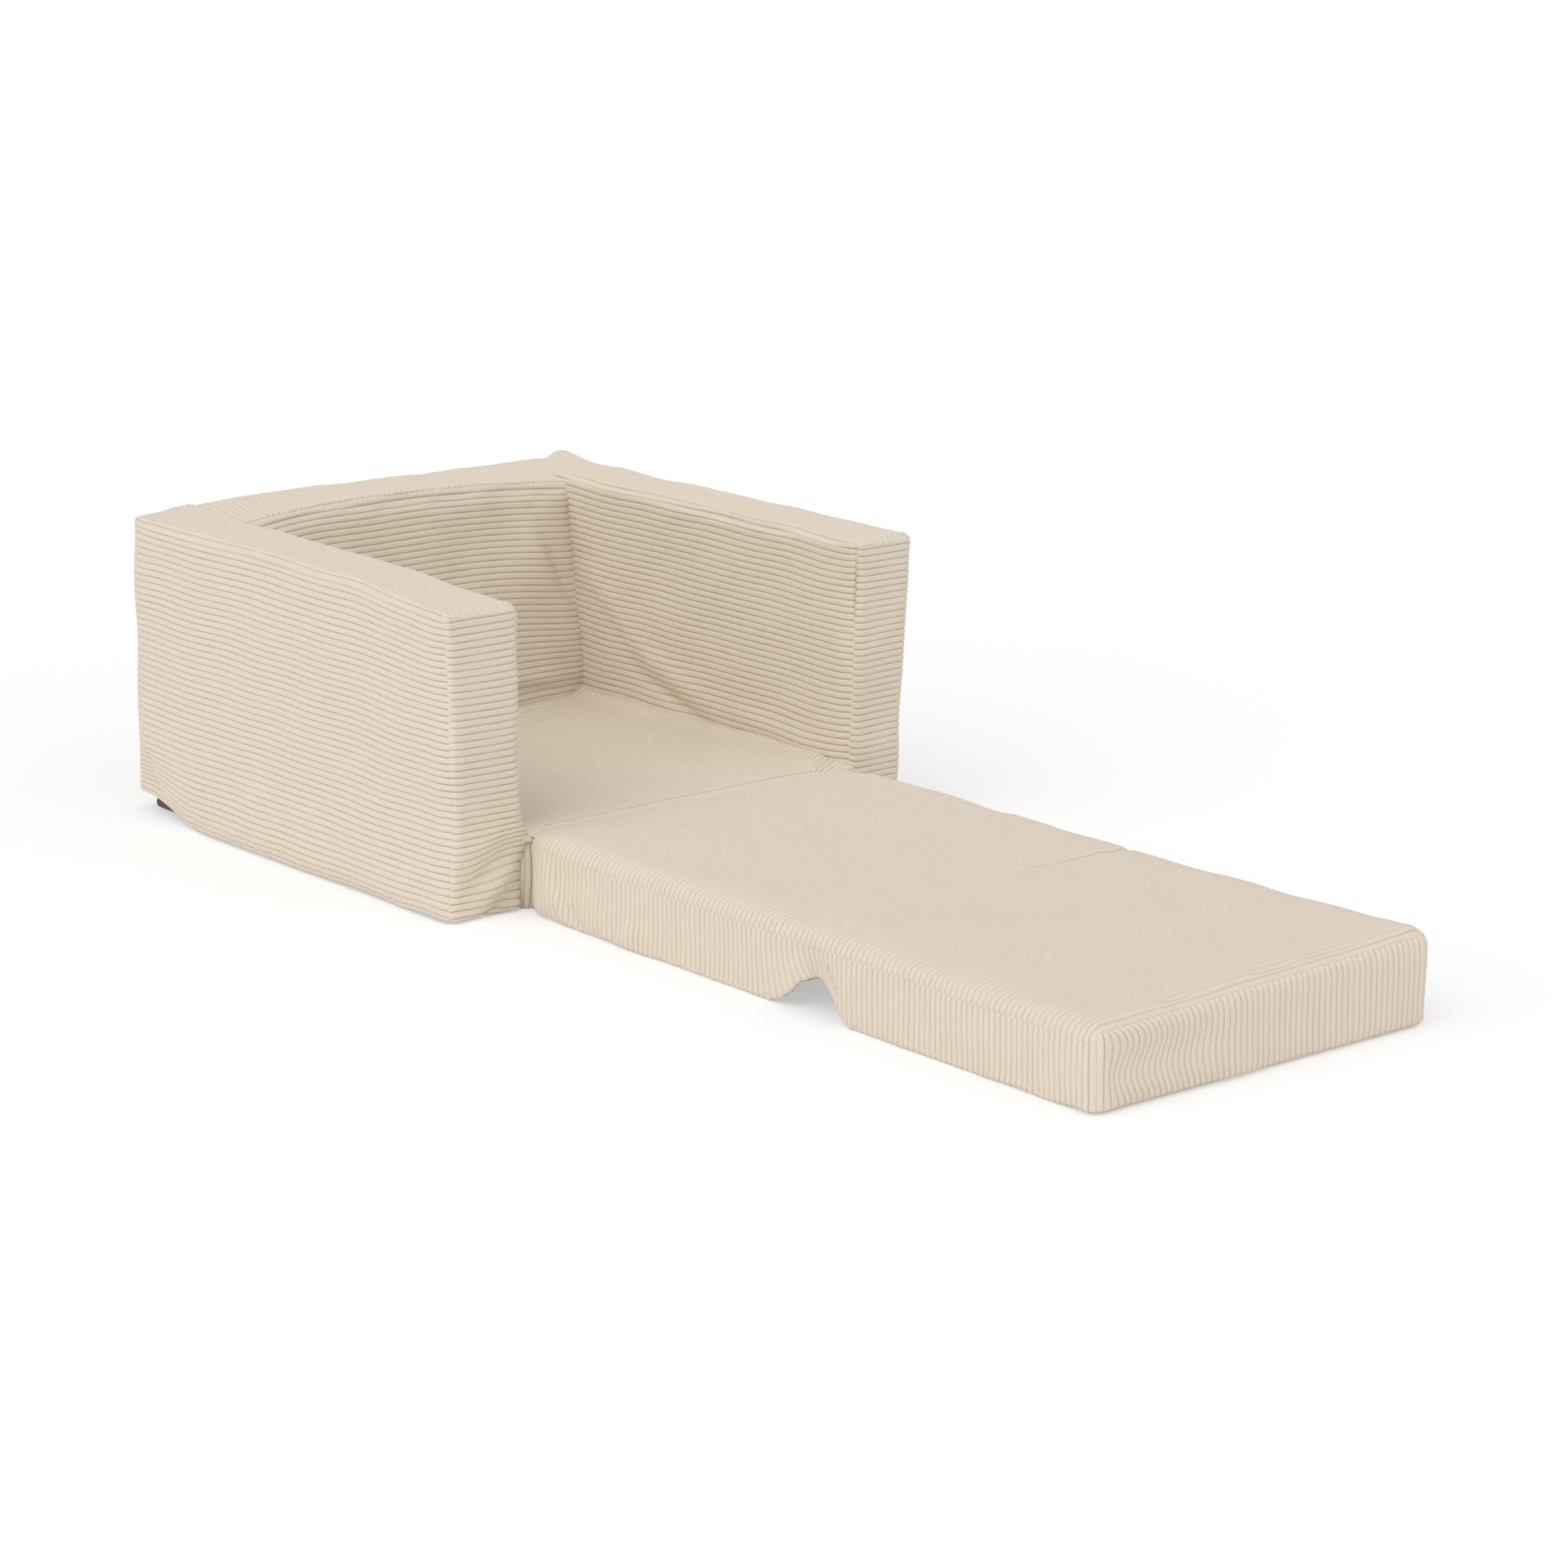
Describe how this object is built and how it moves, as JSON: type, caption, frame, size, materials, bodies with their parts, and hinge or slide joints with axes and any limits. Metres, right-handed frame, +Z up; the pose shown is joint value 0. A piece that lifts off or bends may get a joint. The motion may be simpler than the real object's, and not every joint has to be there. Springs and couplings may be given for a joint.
{
  "type": "kids folding armchair",
  "caption": "Child's foam armchair with a corduroy cover: a U-shaped shell round a seat base, whose hinged mattress folds out on the floor or folds up into a seat and back cushion.",
  "frame": {"origin": "middle of the unfolded armchair's footprint, on the floor", "axes": "+Z up, -Y towards the loose end of the mattress, +X to the right as seen from the front"},
  "size_m": [0.53, 1.2889, 0.288],
  "materials": {
    "corduroy": "cream wide-rib corduroy",
    "foam": "open-cell polyurethane foam",
    "base_cloth": "dark plain non-slip cloth",
    "zip_tape": "beige woven tape",
    "zip_coil": "nylon coil",
    "zip_metal": "beige lacquered zinc"
  },
  "bodies": {
    "shell": {"left_arm_foam": "foam", "left_arm_wrap": "corduroy", "left_arm_front_panel": "corduroy", "right_arm_foam": "foam", "right_arm_wrap": "corduroy", "right_arm_front_panel": "corduroy", "back_foam": "foam", "back_inner_panel": "corduroy", "back_top_panel": "corduroy", "back_outer_panel": "corduroy", "base_foam": "foam", "base_top_panel": "corduroy", "base_front_panel": "corduroy", "base_cloth": "base_cloth", "seat_fold_seam": "corduroy", "shell_zip_tape": "zip_tape", "shell_zip_coil": "zip_coil"},
    "seat_pad": {"seat_pad_foam": "foam", "seat_pad_top_panel": "corduroy", "seat_pad_bottom_panel": "corduroy", "seat_pad_left_band": "corduroy", "seat_pad_right_band": "corduroy", "seat_pad_rear_band": "corduroy", "seat_pad_notch_panel": "corduroy", "seat_pad_zip_tape": "zip_tape", "seat_pad_zip_coil": "zip_coil", "backrest_fold_seam": "corduroy", "notch_gusset_left": "corduroy", "notch_gusset_right": "corduroy"},
    "backrest_pad": {"backrest_pad_foam": "foam", "backrest_pad_top_panel": "corduroy", "backrest_pad_bottom_panel": "corduroy", "backrest_pad_left_band": "corduroy", "backrest_pad_right_band": "corduroy", "backrest_pad_end_band": "corduroy", "backrest_pad_notch_panel": "corduroy", "backrest_pad_zip_tape": "zip_tape", "backrest_pad_zip_coil": "zip_coil"},
    "shell_zip_runner": {"shell_zip_slider": "zip_metal", "shell_zip_pull": "zip_metal"},
    "seat_pad_zip_runner": {"seat_pad_zip_slider": "zip_metal", "seat_pad_zip_pull": "zip_metal"},
    "backrest_pad_zip_runner": {"backrest_pad_zip_slider": "zip_metal", "backrest_pad_zip_pull": "zip_metal"}
  },
  "joints": [
    {"name": "seat_fold", "type": "hinge", "parent": "shell", "child": "seat_pad", "pos_m": [0, 0.11, 0.0766], "axis": [-1, 0, 0], "range_deg": [0, 180]},
    {"name": "backrest_fold", "type": "hinge", "parent": "seat_pad", "child": "backrest_pad", "pos_m": [0, -0.287, 0.0766], "axis": [1, 0, 0], "range_deg": [0, 77], "deforming": ["notch_gusset_left", "notch_gusset_right"]},
    {"name": "shell_zip_slide", "type": "slide", "parent": "shell", "child": "shell_zip_runner", "axis": [1, 0, 0], "range_m": [0, 0.282]},
    {"name": "seat_pad_zip_slide", "type": "slide", "parent": "seat_pad", "child": "seat_pad_zip_runner", "axis": [-1, 0, 0], "range_m": [0, 0.282]},
    {"name": "backrest_pad_zip_slide", "type": "slide", "parent": "backrest_pad", "child": "backrest_pad_zip_runner", "axis": [-1, 0, 0], "range_m": [0, 0.282]}
  ],
  "couplings": [
    {"joint": "backrest_fold", "follows": "seat_fold", "ratio": 0.4277}
  ]
}
